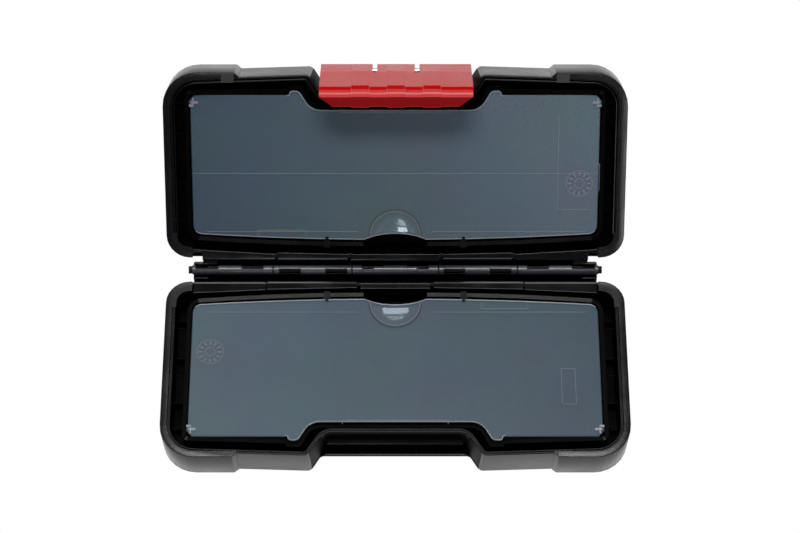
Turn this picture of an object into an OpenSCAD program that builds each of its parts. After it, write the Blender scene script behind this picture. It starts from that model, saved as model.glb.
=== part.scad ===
// Flat hinged case for saw blades, standing open on its lower half.
// The hinge axis runs along X at the back, the latch side faces -Y and +Z is up.
// Both halves are drawn in half coordinates: x across, y forward from the hinge axis,
// and z up towards the mating plane, which is z = 0.

/* [Case] */
// Overall width across the end guards
case_w = 266.4; // [250:0.1:290]
// Reach from the hinge axis to the front face of the end guards
case_reach = 117.2; // [112:0.1:128]
// Height of each half, from its outer face to the mating plane
half_h = 25; // [23:0.5:30]
// Lid angle at its stop, from shut
open_angle = 137; // [120:1:145]
// Distance from the hinge axis to the back face of the end guards
back_reach = 7.3; // [6.5:0.1:8.5]
// Radius of the front outer corners
front_r = 20; // [14:0.5:24]
// Radius of the rear outer corners
back_r = 13.5; // [11:0.5:16]
// Gap between the two rims when the case is shut
rim_gap = 0.2; // [0.1:0.05:0.4]

/* [Shell] */
// Thickness of the outer wall
wall_t = 1.8; // [1.4:0.1:2.4]
// Thickness of the floor
floor_t = 2.2; // [1.6:0.1:3]
// Set-back of the front wall from the guards' front face
front_step = 1.6; // [1:0.1:2.5]
// Inward lean of the front wall from rim to floor
front_draft = 1; // [0:0.1:1.5]
// Height of the thickened rim
rim_h = 3; // [2:0.5:4]
// Width of the lower half's rim, with its tongue
lower_rim_t = 2.4; // [2.3:0.1:3]
// Width of the lid's rim, with its groove
upper_rim_t = 3.1; // [2.9:0.1:3.8]
// Distance from the outer face to the tongue
tongue_in = 1; // [0.9:0.1:1.2]
// Width of the tongue
tongue_t = 1; // [0.6:0.1:1.1]
// Height of the tongue above the mating plane
tongue_h = 0.5; // [0.3:0.05:0.6]
// Clearance between the tongue and its groove
tongue_fit = 0.3; // [0.2:0.05:0.5]
// Thickness of the inner compartment wall
inner_t = 2.2; // [1.6:0.1:2.6]
// Depth of the compartment wall's top below the mating plane
inner_low = 1.5; // [1:0.1:2]
// Depth of the compartment wall's top round the latch recess
inner_low_front = 5.5; // [5:0.1:7]
// Width of the ledge that the inner cover rests on
ledge_t = 1.8; // [1.5:0.1:2.4]
// Distance of the ledge's front end behind the cover's pivots
ledge_end = 6; // [5:0.5:8]
// Distance of the low front stretch's start behind the ledge's front end
low_front_start = 3; // [2:0.5:4]
// Overlap of the low front stretch past the cover's cut-out
low_front_more = 3; // [2:0.5:4]
// Width of the bridging ribs in the outer gap
rib_t = 1.2; // [0.8:0.1:2]
// Depth of the bridging ribs' tops below the mating plane
rib_low = 5; // [3:0.5:8]
// Distance of the rearmost side rib in front of the cover's rear edge
side_rib_1 = 4.8; // [4:0.1:10]
// Distance of the second side rib behind the cover's front edge
side_rib_2 = 53.5; // [40:0.5:60]
// Distance of the third side rib behind the cover's front edge
side_rib_3 = 25.5; // [20:0.5:35]
// Distance of the foremost side rib behind the cover's front edge
side_rib_4 = 10.5; // [9:0.5:15]
// Distance from the middle to the first rib in the rear gap
rear_rib_first = 24; // [21:0.5:28]
// Spacing of the ribs in the rear gap
rear_rib_pitch = 38; // [30:0.5:39]
// Half-width of the finger gap in the rear compartment wall
finger_half = 18.5; // [14:0.5:22]
// Depth of the finger gap
finger_deep = 13; // [10:0.5:16]

/* [Latch recess] */
// Depth of the recess at the rim, from the front wall back to the recess wall
recess_deep = 13.8; // [13:0.1:14.5]
// Backward lean of the recess wall from rim to floor
recess_lean = 3; // [2:0.1:4]
// Half-width of the recess at its wall
recess_half = 41; // [40.5:0.1:44]
// Half-width of the recess at the front face
recess_mouth = 51.3; // [48:0.1:58]
// Set-back of the bottom flange in the recess from the front wall
flange_in = 9.4; // [8:0.1:10]
// Half-width of the flange's straight edge
flange_half = 42.4; // [40:0.1:45]
// Length of the catch rib out of the recess wall
catch_l = 0.5; // [0.2:0.05:0.6]
// Depth of the catch rib's underside below the mating plane
catch_low = 11; // [10:0.1:11.2]
// Thickness of the catch rib
catch_t = 2; // [1.5:0.1:2.5]
// Rise of the catch rib's top from its edge to the wall
catch_rise = 1; // [0.5:0.1:1.5]
// Half-width of the catch rib
catch_half = 36; // [30:0.5:38]

/* [Guards] */
// Thickness of the end guards
guard_t = 3.9; // [3:0.1:5]
// Length of the front legs, along X
guard_front_l = 41.2; // [33:0.1:50]
// Length of the rear legs, along X
guard_back_l = 14.9; // [13.8:0.1:16]
// Radius of the guards' outer bottom edge
edge_r = 2.2; // [1:0.1:3]
// Inward lean of the guards from rim to floor
guard_draft = 0.9; // [0:0.1:1.5]
// Fit between a guard and its shell
guard_fit = 0.05; // [0:0.01:0.15]
// Width of the locking tab that laps over the lid's rim
tab_w = 7.4; // [5:0.1:9]
// Distance of the locking tab from the front leg's end
tab_off = 0.5; // [0.3:0.1:2]
// Depth of the locking tab below the mating plane
tab_h = 1.2; // [0.8:0.1:1.6]

/* [Hinge] */
// Radius of the hinge barrel
barrel_r = 2.75; // [2.6:0.05:3]
// Radius of the hinge pins
pin_r = 1.6; // [1.2:0.05:1.8]
// Radial running clearance of the pins
pin_fit = 0.05; // [0.02:0.01:0.1]
// Radius of the pins' heads
head_r = 2.2; // [2:0.05:2.6]
// Length of the pins' heads
head_l = 2; // [1:0.1:3]
// Distance from the guards' outer faces to the ends of the outer knuckles
hinge_in = 14.7; // [14.2:0.1:16]
// Length of the outer knuckles, with half of the gap beside them
knuckle_l = 47.2; // [42:0.1:52]
// Distance from the middle to the joint of the middle knuckles
knuckle_in = 25.2; // [20:0.1:30]
// Gap between neighbouring knuckles
knuckle_gap = 0.6; // [0.3:0.1:1]
// Radial room round the barrel inside the other half
barrel_room = 0.6; // [0.4:0.1:0.8]
// Width of the rear rim strip
back_rim_t = 5; // [4:0.1:5.5]
// Set-back of the heels' ends from the ends of the guards' rear legs
heel_in = 0.6; // [0.3:0.1:2]
// Width of the see-through corners beside the hinge channel
corner_w = 4.8; // [4:0.1:7]
// Reach of the heel's end boxes in front of the axis
heel_end_reach = 3.5; // [3:0.1:4]
// Thickness of the heel wall
heel_t = 2; // [1.6:0.1:2.6]
// Gap between the two heels at the stop
stop_gap = 0.3; // [0.2:0.05:0.6]
// Set-back of the rear wall from the guards' back face
back_in = 0.3; // [0.2:0.1:0.6]
// Share of a knuckle's length before its first window
window_start_share = 0.12; // [0.1:0.01:0.16]
// Share of a knuckle's length from one window to the next
window_pitch_share = 0.5; // [0.45:0.01:0.55]
// Share of a knuckle's length that a window takes
window_share = 0.26; // [0.15:0.01:0.3]
// Height of the windows' floor above the hinge axis
window_floor = 1; // [0.5:0.1:1.4]
// Distance from the middle to the hinge pins' inner ends
pin_end = 1; // [0.5:0.1:3]
// Gap between a pin's head and the last knuckle
head_gap = 0.1; // [0.05:0.05:0.3]

/* [Inner covers] */
// Gap between a cover's side and the inner face of the guard
cover_in = 11.8; // [11.3:0.1:16]
// Thickness of a cover
cover_t = 1.4; // [1.2:0.1:1.8]
// Depth of the cover's face below the mating plane
cover_low = 2.5; // [2:0.1:3]
// Set-back of the cover's front edge from the front wall
cover_front_in = 12.1; // [11.6:0.1:13]
// Set-back of the cut-out's edge from the recess wall's rim
cut_in = 7.1; // [6.8:0.1:8.3]
// Half-width of the cut-out at the front edge
cut_half_front = 58; // [56:0.1:60]
// Half-width of the cut-out at its bottom
cut_half_back = 49.5; // [48:0.1:51]
// Distance of the cover's rear edge from the guards' back face, in the middle
cover_back_in = 10.1; // [9.7:0.1:11.7]
// Bow of the cover's rear edge, from the middle to the sides
cover_bow = 3.8; // [3:0.1:5]
// Radius of the rear corners
cover_r = 5; // [3:0.5:7]
// Radius of the front corners
cover_front_r = 1.5; // [1:0.1:2.5]
// Radius of the cut-out's corners at its bottom
cut_r = 6; // [4:0.5:7]
// Radius of the cut-out's corners at the front edge
cut_tip_r = 2.5; // [2:0.1:3.5]
// Distance of the pivot axis behind the cover's front edge
pivot_in = 4.3; // [3.9:0.1:4.7]
// Radius of the pivot studs
stud_r = 1.2; // [1:0.05:1.4]
// Length of the pivot studs
stud_l = 2.4; // [2:0.1:2.8]
// Length of the studs' roots under the cover
stud_root = 4; // [3:0.5:6]
// Clearance between a cover and the compartment wall
cover_fit = 0.9; // [0.6:0.05:1]
// Gap between a cover and its ledge
seat_gap = 0.15; // [0.1:0.05:0.3]
// Half-width of the thumb notch
notch_half = 21.5; // [18:0.5:24]
// Depth of the thumb notch
notch_deep = 5; // [3:0.5:6]
// Narrowing of the thumb notch on each side, from mouth to bottom
notch_taper = 6; // [4:0.5:8]
// Radius of the thumb notch's corners
notch_r = 3; // [2:0.5:4]
// Radius of the thumb dish in the cover
dish_r = 14; // [11:0.5:15]
// Depth of the thumb dish
dish_deep = 6; // [4:0.5:8]

/* [Latch] */
// Half-width of the latch
latch_half = 43.5; // [40:0.1:44]
// Set-back of the latch's pivot from the front wall
latch_pivot_in = 1.4; // [0.8:0.1:2.1]
// Depth of the latch's pivot, towards the lid's outer face
latch_pivot_low = 20.6; // [20:0.1:20.8]
// Radius of the latch's barrel
latch_barrel_r = 4.2; // [3.8:0.1:4.3]
// Set-back of the latch plate's face from the front of the barrel
plate_set = 0.2; // [0.1:0.1:0.5]
// Thickness of the latch plate
latch_t = 2.4; // [2:0.1:3]
// Inward lean of the latch plate from top to fold
latch_lean = 8.4; // [7:0.1:9.5]
// Drop of the fold below the mating plane
fold_drop = 21; // [20:0.1:21.3]
// Reach of the lip behind the latch's pivot
lip_l = 12.4; // [12.2:0.05:12.6]
// Half-width of the lip's inner end
lip_half = 36; // [32:0.5:38]
// Length of the lip's chamfered ends, along the lip
lip_chamfer = 5.8; // [5.6:0.1:6.2]
// Set-back of the hook tooth from the lip's inner end
tooth_in = 0.85; // [0.8:0.05:1]
// Drop of the hook tooth's top below the mating plane
tooth_drop = 12.2; // [12:0.1:13]
// Thickness of the hook tooth
tooth_t = 2; // [1.5:0.1:2.5]
// Half-width of the hook tooth
tooth_half = 33; // [28:0.5:36]
// Thickness of the raised grip pads
pad_t = 0.5; // [0.3:0.1:0.8]
// Width of a raised grip pad
pad_w = 10; // [8:0.5:12]
// Spacing of the raised grip pads
pad_pitch = 20; // [18:0.5:24]
// Distance from the pivot to the start of the grip pads
pad_start = 6; // [5:0.5:10]
// Distance from the middle to the ears that carry the latch
ear_x = 12.2; // [10:0.1:16]
// Thickness of an ear
ear_t = 1.7; // [1.4:0.1:2]
// Side clearance of an ear in its slot
ear_fit = 0.3; // [0.2:0.05:0.5]
// Radius of an ear round the latch pin
ear_r = 3; // [2.6:0.1:3.2]
// Depth of an ear's root at the recess wall below the mating plane
ear_low = 8; // [6:0.5:12]
// Radius of the latch pin
latch_pin_r = 1.5; // [1.2:0.05:1.6]

/* [Hidden] */
$fn = 48;

// The base's underside is centred on the origin, between its back and front faces
hinge_y = (case_reach + back_reach) / 2;
rim_z = -rim_gap / 2;
floor_z = -half_h + floor_t;
// overlap of touching solids, overshoot of cuts, and steps of a rounded corner
eps = 0.01;
over = 1;
arc_n = 6;

front_reach = case_reach - front_step;
back_wall_y = back_reach + back_in;
core_w = case_w - 2 * guard_t;
core_front = case_reach - guard_t;
core_back = back_reach + guard_t;
core_front_r = front_r - guard_t;
core_back_r = back_r - guard_t;
recess_reach = front_reach - recess_deep;
recess_slope = (recess_mouth - recess_half) / recess_deep;
recess_turn = tan((90 - atan(recess_slope)) / 2);
flange_reach = front_reach - flange_in;
catch_reach = recess_reach + catch_l;

guard_front_x = case_w / 2 - guard_front_l;
guard_back_x = case_w / 2 - guard_back_l;
hinge_half = case_w / 2 - hinge_in;
knuckle_out = hinge_half - knuckle_l;
heel_half = guard_back_x - heel_in;
channel_half = heel_half - corner_w;
heel_slope = tan((180 - open_angle) / 2);

cover_side = core_w / 2 - cover_in;
cover_reach = front_reach - cover_front_in;
cover_cut_reach = recess_reach - cut_in;
cover_back_mid = back_reach + cover_back_in;
cover_back_side = cover_back_mid + cover_bow;
pivot_reach = cover_reach - pivot_in;
pivot_z = -cover_low - stud_r;
cut_turn = tan(atan2(cover_reach - cover_cut_reach, cut_half_front - cut_half_back) / 2);
inner_out = cover_fit + inner_t;
latch_pivot_reach = front_reach - latch_pivot_in;
lip_reach = latch_pivot_reach - lip_l;
lip_corner_reach = lip_reach + lip_chamfer;
tooth_reach = lip_reach + tooth_in;
plate_top_y = latch_pivot_reach + latch_barrel_r - plate_set;

// Unit vector along a
function unit(a) = a / norm(a);

// Points of an arc of radius r that rounds corner b between a and c
function corner(a, b, c, r) = let(
    u = unit(a - b),
    v = unit(c - b),
    half = acos(u * v) / 2,
    s = b + u * r / tan(half),
    e = b + v * r / tan(half),
    m = b + unit(u + v) * r / sin(half),
    a0 = atan2(s[1] - m[1], s[0] - m[0]),
    a1 = atan2(e[1] - m[1], e[0] - m[0]),
    turn = a1 - a0 > 180 ? a1 - a0 - 360 : a1 - a0 < -180 ? a1 - a0 + 360 : a1 - a0)
    [for (i = [0:arc_n]) m + r * [cos(a0 + turn * i / arc_n), sin(a0 + turn * i / arc_n)]];

// Closed outline from corners [x, y, radius]
function rounded(p) = let(n = len(p)) [for (i = [0:n - 1]) let(
    b = [p[i][0], p[i][1]],
    a = [p[(i + n - 1) % n][0], p[(i + n - 1) % n][1]],
    c = [p[(i + 1) % n][0], p[(i + 1) % n][1]])
    each p[i][2] <= 0 ? [b] : corner(a, b, c, p[i][2])];

// Right half of an outline and its mirror image as one list of corners
function both_sides(p) = concat(p, [for (i = [len(p) - 1:-1:0]) [-p[i][0], p[i][1], p[i][2]]]);

// Solid that fills x0 to x1 with the section drawn in y and z
module along_x(x0, x1) {
    translate([x0, 0, 0])
        rotate([90, 0, 90])
            linear_extrude(x1 - x0)
                children();
}

module box(x0, x1, y0, y1, z0, z1) {
    translate([x0, y0, z0])
        cube([x1 - x0, y1 - y0, z1 - z0]);
}

module slab(z0, z1) {
    translate([0, 0, z0])
        linear_extrude(z1 - z0)
            children();
}

module in_pair() {
    children();
    mirror([1, 0, 0])
        children();
}

// The lower half stands on z = 0 with its mating plane up
module place_lower() {
    translate([0, hinge_y, half_h])
        mirror([0, 1, 0])
            children();
}

// The lid leans back at its stop
module place_upper() {
    translate([0, hinge_y, half_h])
        rotate([-open_angle, 0, 0])
            mirror([0, 1, 0])
                mirror([0, 0, 1])
                    children();
}

// Case outline inside the end guards' outer face by e
module case_plan(e) {
    polygon(rounded(both_sides([
        [case_w / 2 - e, case_reach - e, front_r - e],
        [case_w / 2 - e, back_reach + e, back_r - e]])));
}

module core_plan(e) {
    polygon(rounded(both_sides([
        [core_w / 2 - e, core_front - e, core_front_r - e],
        [core_w / 2 - e, core_back + e, core_back_r - e]])));
}

// Latch recess, widened by e, with its wall at reach y and half-width hw
module recess_plan(hw, y, e) {
    far = case_reach + over;
    near_half = hw + recess_turn * e;
    far_half = near_half + recess_slope * (far - y + e);
    polygon([[near_half, y - e], [far_half, far], [-far_half, far], [-near_half, y - e]]);
}

// Outer wall line of a shell, moved inwards by e
module shell_plan(e, hw = recess_half, y = recess_reach) {
    mid_y = (case_reach + back_reach) / 2;
    difference() {
        union() {
            core_plan(e);
            translate([-guard_front_x + guard_fit + e, mid_y])
                square([2 * (guard_front_x - guard_fit - e), front_reach - e - mid_y]);
            translate([-guard_back_x + guard_fit + e, back_wall_y + e])
                square([2 * (guard_back_x - guard_fit - e), mid_y - back_wall_y - e]);
        }
        recess_plan(hw, y, e);
    }
}

// Cover outline grown by g, with its bowed rear edge and the cut-out behind the latch recess
module cover_plan(g) {
    bow = [for (k = [6:-1:0]) let(x = (cover_side - cover_r) * k / 7)
        [x, cover_back_mid + cover_bow * pow(x / cover_side, 2) - g, 0]];
    polygon(rounded(both_sides(concat(
        [[cut_half_back - cut_turn * g, cover_cut_reach + g, cut_r - g],
            [cut_half_front - cut_turn * g, cover_reach + g, cut_tip_r + g],
            [cover_side + g, cover_reach + g, cover_front_r + g],
            [cover_side + g, cover_back_side - g, cover_r + g]], bow))));
}

// Slanted wall at the back of the latch recess
module recess_wall() {
    along_x(-recess_half, recess_half)
        polygon([
            [recess_reach - recess_lean - wall_t, -half_h],
            [recess_reach - recess_lean, -half_h],
            [recess_reach, rim_z],
            [recess_reach - wall_t, rim_z]]);
}

// Compartment wall with the ledge for the cover, the low front stretch and the finger gap
module compartment() {
    ledge_y = pivot_reach - ledge_end;
    low_x = cut_half_front + low_front_more;
    difference() {
        slab(floor_z - eps, -inner_low)
            difference() {
                cover_plan(inner_out);
                cover_plan(cover_fit);
            }
        box(-low_x, low_x, ledge_y - low_front_start, case_reach, -inner_low_front, 0);
        box(-finger_half, finger_half, 0, cover_back_side, -finger_deep, 0);
        in_pair()
            stud_hole();
    }
    difference() {
        slab(floor_z - eps, -cover_low - cover_t - seat_gap)
            difference() {
                cover_plan(cover_fit + eps);
                cover_plan(cover_fit - ledge_t);
            }
        box(-case_w / 2, case_w / 2, ledge_y, case_reach, -half_h, 0);
        box(-notch_half - over, notch_half + over, 0, cover_back_side + ledge_t, -finger_deep, 0);
    }
}

// Hole in the compartment's side wall for a cover's pivot stud
module stud_hole() {
    translate([cover_side - over, pivot_reach, pivot_z])
        rotate([0, 90, 0])
            cylinder(r = stud_r + pin_fit, h = inner_out + 2 * over);
}

// Ribs that bridge the gap between the outer wall and the compartment
module gap_ribs() {
    x0 = cover_side + cover_fit + inner_t / 2;
    x1 = core_w / 2 - wall_t / 2;
    for (y = [cover_back_side + side_rib_1, cover_reach - side_rib_2, cover_reach - side_rib_3,
            cover_reach - side_rib_4])
        in_pair()
            box(x0, x1, y - rib_t / 2, y + rib_t / 2, floor_z - eps, -rib_low);
    for (i = [0:2]) let(x = rear_rib_first + rear_rib_pitch * i)
        in_pair()
            box(x - rib_t / 2, x + rib_t / 2, back_wall_y + wall_t / 2, cover_back_mid, floor_z - eps, -rib_low);
}

// Wall along the stop plane, the channel's floor, and the boxes that close its ends
module heel() {
    top_z = -barrel_r - barrel_room;
    rear_y = function(z) heel_slope * z + stop_gap / 2 / cos(atan(heel_slope));
    section = [[rear_y(-half_h), -half_h], [rear_y(top_z), top_z]];
    along_x(-heel_half, heel_half)
        polygon(concat(section, [[rear_y(top_z) + heel_t, top_z], [rear_y(-half_h) + heel_t, -half_h]]));
    box(-heel_half, heel_half, rear_y(floor_z) + heel_t / 4, heel_end_reach, -half_h, floor_z);
    box(-channel_half, channel_half, heel_end_reach - eps, back_wall_y + wall_t, -half_h, floor_z);
    in_pair() {
        along_x(heel_half - heel_t, heel_half)
            polygon(concat(section, [[heel_end_reach, top_z], [heel_end_reach, -half_h]]));
        box(channel_half - heel_t, heel_half, heel_end_reach - heel_t, heel_end_reach, -half_h, top_z);
        box(channel_half - heel_t, channel_half, heel_end_reach - heel_t, back_wall_y + over, -half_h, top_z);
    }
}

// One hinge knuckle from x0 to x1 with its web, supports and the bore for the pin
module knuckle(x0, x1) {
    web_x1 = min(x1, guard_back_x - 2 * guard_fit);
    web_y = back_wall_y + over;
    difference() {
        union() {
            along_x(x0, x1)
                circle(r = barrel_r);
            along_x(x0, web_x1)
                polygon([[0, -barrel_r], [web_y, -rim_h], [web_y, rim_z], [0, rim_z]]);
            for (x = [x0 + heel_t / 2, (x0 + x1) / 2, web_x1 - heel_t / 2])
                along_x(x - heel_t / 2, x + heel_t / 2)
                    polygon([[0, -over], [0, -half_h + over], [web_y, -half_h + over], [web_y, -over]]);
        }
        along_x(x0 - over, x1 + over)
            circle(r = pin_r + pin_fit);
        for (k = [window_start_share, window_start_share + window_pitch_share]) let(x = x0 + (x1 - x0) * k)
            box(x, x + (x1 - x0) * window_share, -barrel_r - over, barrel_r + over, window_floor, barrel_r + over);
    }
}

// The parts that both shells share
module shell_body(rim_t) {
    difference() {
        union() {
            slab(-half_h, rim_z)
                shell_plan(0);
            slab(-half_h, floor_z)
                shell_plan(0, flange_half, flange_reach);
        }
        slab(floor_z, -rim_h)
            shell_plan(wall_t);
        slab(-rim_h - eps, over)
            shell_plan(rim_t);
        // room behind the slanted wall of the recess
        box(-recess_half + wall_t, recess_half - wall_t, recess_reach - wall_t - eps, recess_reach + eps, floor_z,
            -rim_h);
        // lean and rounded edge of the front wall
        along_x(-case_w, case_w)
            polygon(concat(
                [[front_reach + eps, rim_z + over], [front_reach, rim_z]],
                [for (a = [0:15:90]) [front_reach - front_draft - edge_r + edge_r * cos(a),
                    -half_h + edge_r - edge_r * sin(a)]],
                [[front_reach - front_draft - edge_r, -half_h - over], [case_reach + over, -half_h - over],
                    [case_reach + over, rim_z + over]]));
        // see-through corners beside the hinge channel
        in_pair()
            box(channel_half, case_w, -half_h, back_wall_y + wall_t, -half_h - over, -rim_h);
    }
    // wide strip along the rear rim
    box(-guard_back_x + guard_fit, guard_back_x - guard_fit, back_wall_y, back_wall_y + back_rim_t, -rim_h, rim_z);
    // wall that closes the see-through corners from inside
    in_pair()
        box(channel_half - eps, guard_back_x - guard_fit, back_wall_y + wall_t, back_wall_y + 2 * wall_t,
            -half_h, -rim_h + eps);
    recess_wall();
    compartment();
    gap_ribs();
    heel();
}

// Tab of the right-hand end guard that laps over the lid's rim, grown by g
module locking_tab(g, top = rim_z) {
    x0 = guard_front_x + tab_off;
    box(x0 - g, x0 + tab_w + g, core_front - upper_rim_t - g, core_front + guard_t / 2, rim_z - tab_h - g, top);
}

module lower_shell() {
    color([0.09, 0.09, 0.1]) place_lower() {
        difference() {
            union() {
                shell_body(lower_rim_t);
                // tongue
                slab(rim_z - eps, tongue_h)
                    difference() {
                        shell_plan(tongue_in);
                        shell_plan(tongue_in + tongue_t);
                    }
            }
            // no tongue along the rear rim or over the lid guards' tabs
            box(-guard_back_x, guard_back_x, -case_reach, back_wall_y + back_rim_t, rim_z, half_h);
            in_pair()
                locking_tab(tongue_fit, half_h);
        }
        // catch rib
        along_x(-catch_half, catch_half)
            polygon([[recess_reach - wall_t, -catch_low], [catch_reach, -catch_low],
                [catch_reach, catch_t - catch_low], [recess_reach - wall_t, catch_t + catch_rise - catch_low]]);
        in_pair()
            knuckle(knuckle_out + knuckle_gap / 2, hinge_half);
        knuckle(-knuckle_in + knuckle_gap / 2, knuckle_in - knuckle_gap / 2);
    }
}

module upper_shell() {
    color([0.09, 0.09, 0.1]) place_upper() {
        difference() {
            shell_body(upper_rim_t);
            // groove
            slab(-tongue_h - tongue_fit, over)
                difference() {
                    shell_plan(tongue_in - tongue_fit);
                    shell_plan(tongue_in + tongue_t + tongue_fit);
                }
            in_pair()
                locking_tab(guard_fit, over);
        }
        in_pair() {
            knuckle(knuckle_in + knuckle_gap / 2, knuckle_out - knuckle_gap / 2);
            latch_ear();
        }
    }
}

// Ear that carries the latch pin
module latch_ear() {
    p = [latch_pivot_reach, -latch_pivot_low];
    difference() {
        along_x(ear_x - ear_t / 2, ear_x + ear_t / 2) {
            translate(p)
                circle(r = ear_r);
            polygon([[recess_reach - recess_lean - over, -half_h], [p[0] - over, -half_h + over],
                [p[0], p[1] - ear_r], [p[0], p[1] + ear_r], [recess_reach - recess_lean, -ear_low]]);
        }
        along_x(ear_x - ear_t, ear_x + ear_t)
            translate(p)
                circle(r = latch_pin_r + pin_fit);
    }
}

// Right-hand end guard: a U round the end of the shell
module guard() {
    difference() {
        hull() {
            for (a = [0, 45, 90]) let(z = -half_h + edge_r * (1 - cos(a)))
                slab(z, z + eps)
                    case_plan(guard_draft + edge_r * (1 - sin(a)));
            slab(rim_z - eps, rim_z)
                case_plan(0);
        }
        slab(-half_h - over, over)
            core_plan(-guard_fit);
        box(-case_w, guard_front_x, case_reach / 2, case_reach + over, -half_h - over, over);
        box(-case_w, guard_back_x, -over, case_reach / 2, -half_h - over, over);
    }
}

module lower_guard_left() {
    color([0.16, 0.16, 0.17]) place_lower() mirror([1, 0, 0]) guard();
}

module lower_guard_right() {
    color([0.16, 0.16, 0.17]) place_lower() guard();
}

module upper_guard_left() {
    color([0.16, 0.16, 0.17]) place_upper() mirror([1, 0, 0]) {
        guard();
        locking_tab(0);
    }
}

module upper_guard_right() {
    color([0.16, 0.16, 0.17]) place_upper() {
        guard();
        locking_tab(0);
    }
}

// Inner cover with its pivot studs, thumb notch and thumb dish
module cover() {
    z0 = -cover_low - cover_t;
    ball_r = (dish_r * dish_r + dish_deep * dish_deep) / (2 * dish_deep);
    ball_z = -cover_low + ball_r - dish_deep;
    out_r = dish_r + 2 * cover_t;
    dish_y = cover_back_mid + notch_deep;
    difference() {
        union() {
            slab(z0, -cover_low)
                cover_plan(0);
            // outside of the thumb dish
            intersection() {
                translate([0, dish_y, ball_z])
                    sphere(r = ball_r + cover_t);
                box(-out_r, out_r, dish_y, dish_y + out_r, z0 - dish_deep - over, z0 + cover_t / 2);
            }
            in_pair()
                translate([cover_side - stud_root, pivot_reach, pivot_z])
                    rotate([0, 90, 0])
                        cylinder(r = stud_r, h = stud_root + stud_l);
        }
        // thumb notch
        slab(z0 - over, over)
            polygon(rounded(both_sides([
                [notch_half - notch_taper, dish_y, notch_r], [notch_half, cover_back_mid - 4 * over, 0]])));
        translate([0, dish_y, ball_z])
            sphere(r = ball_r);
    }
}

module lower_cover() {
    color([0.6, 0.66, 0.7, 0.6]) place_lower() cover();
}

module upper_cover() {
    color([0.6, 0.66, 0.7, 0.6]) place_upper() cover();
}

// Latch: barrel, leaning plate, rounded fold, lip and hook tooth
module latch() {
    p = [latch_pivot_reach, -latch_pivot_low];
    fold_y = plate_top_y - latch_lean;
    fold_r = latch_t;
    pad_y = plate_top_y - latch_lean * pad_start / (fold_drop - fold_r - p[1]);
    color([0.8, 0.03, 0.05]) place_upper() difference() {
        union() {
            along_x(-latch_half, latch_half) {
                translate(p)
                    circle(r = latch_barrel_r);
                polygon([[plate_top_y, p[1]], [fold_y, fold_drop - fold_r], [fold_y - latch_t, fold_drop - fold_r],
                    [plate_top_y - latch_t, p[1]]]);
                translate([fold_y - fold_r, fold_drop - fold_r])
                    intersection() {
                        circle(r = fold_r);
                        square(fold_r + over);
                    }
            }
            // lip with chamfered ends
            slab(fold_drop - latch_t, fold_drop)
                polygon([[-lip_half, lip_reach], [lip_half, lip_reach], [latch_half, lip_corner_reach],
                    [-latch_half, lip_corner_reach]]);
            // hook tooth
            box(-tooth_half, tooth_half, tooth_reach, fold_y, tooth_drop, tooth_drop + tooth_t);
            // grip pads
            for (i = [-1:1])
                along_x(i * pad_pitch - pad_w / 2, i * pad_pitch + pad_w / 2)
                    polygon([[pad_y - over, p[1] + pad_start], [pad_y + pad_t, p[1] + pad_start],
                        [fold_y + pad_t, fold_drop - fold_r], [fold_y - over, fold_drop - fold_r]]);
        }
        along_x(-latch_half - over, latch_half + over)
            translate(p)
                circle(r = latch_pin_r + pin_fit);
        // slots for the ears
        in_pair()
            along_x(ear_x - ear_t / 2 - ear_fit, ear_x + ear_t / 2 + ear_fit)
                translate(p)
                    circle(r = latch_barrel_r + over);
    }
}

module latch_pin() {
    color([0.6, 0.6, 0.62]) place_upper()
        along_x(-latch_half + over, latch_half - over)
            translate([latch_pivot_reach, -latch_pivot_low])
                circle(r = latch_pin_r);
}

// Right-hand hinge pin, with its head outside the last knuckle
module hinge_pin() {
    along_x(pin_end, hinge_half + head_gap)
        circle(r = pin_r);
    along_x(hinge_half + head_gap, hinge_half + head_gap + head_l)
        circle(r = head_r);
}

module hinge_pin_left() {
    color([0.12, 0.12, 0.13]) place_lower() mirror([1, 0, 0]) hinge_pin();
}

module hinge_pin_right() {
    color([0.12, 0.12, 0.13]) place_lower() hinge_pin();
}

lower_shell();
upper_shell();
lower_guard_left();
lower_guard_right();
upper_guard_left();
upper_guard_right();
lower_cover();
upper_cover();
latch();
latch_pin();
hinge_pin_left();
hinge_pin_right();
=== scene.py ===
import bpy
import bmesh
import math
from mathutils import Matrix, Vector


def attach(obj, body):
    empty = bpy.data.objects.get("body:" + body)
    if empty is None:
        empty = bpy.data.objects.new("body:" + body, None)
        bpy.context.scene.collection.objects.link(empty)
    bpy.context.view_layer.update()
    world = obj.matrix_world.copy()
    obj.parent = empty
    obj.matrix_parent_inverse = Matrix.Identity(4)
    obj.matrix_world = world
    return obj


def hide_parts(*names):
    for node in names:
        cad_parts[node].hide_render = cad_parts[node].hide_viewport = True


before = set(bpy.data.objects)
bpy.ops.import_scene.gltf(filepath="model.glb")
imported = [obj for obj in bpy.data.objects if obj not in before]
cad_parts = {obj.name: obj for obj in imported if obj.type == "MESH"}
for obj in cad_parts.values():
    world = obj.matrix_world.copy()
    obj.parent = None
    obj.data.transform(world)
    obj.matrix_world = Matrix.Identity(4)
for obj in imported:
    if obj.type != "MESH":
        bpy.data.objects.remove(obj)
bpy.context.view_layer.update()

# Lower tray: one black injection moulding, with an outer and a compartment wall on a flat
# floor, a ledge for the inner cover, and a rib in the front recess that catches the latch.
# Sizes are in mm: across, reach from the hinge line, height over the plane of the rims.
MM = 0.001
OPEN = math.radians(137)
HINGE_LINE = Vector((0, 0.06225, 0.025))
ON_BASE = Matrix.Translation(HINGE_LINE) @ Matrix.Diagonal((MM, -MM, MM, 1))
ON_LID = (Matrix.Translation(HINGE_LINE) @ Matrix.Rotation(math.pi - OPEN, 4, "X")
          @ Matrix.Diagonal((MM, MM, MM, 1)))
FLOOR, OUTSIDE = -22.8, -25
LEAST_RADIUS = 0.15


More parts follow.
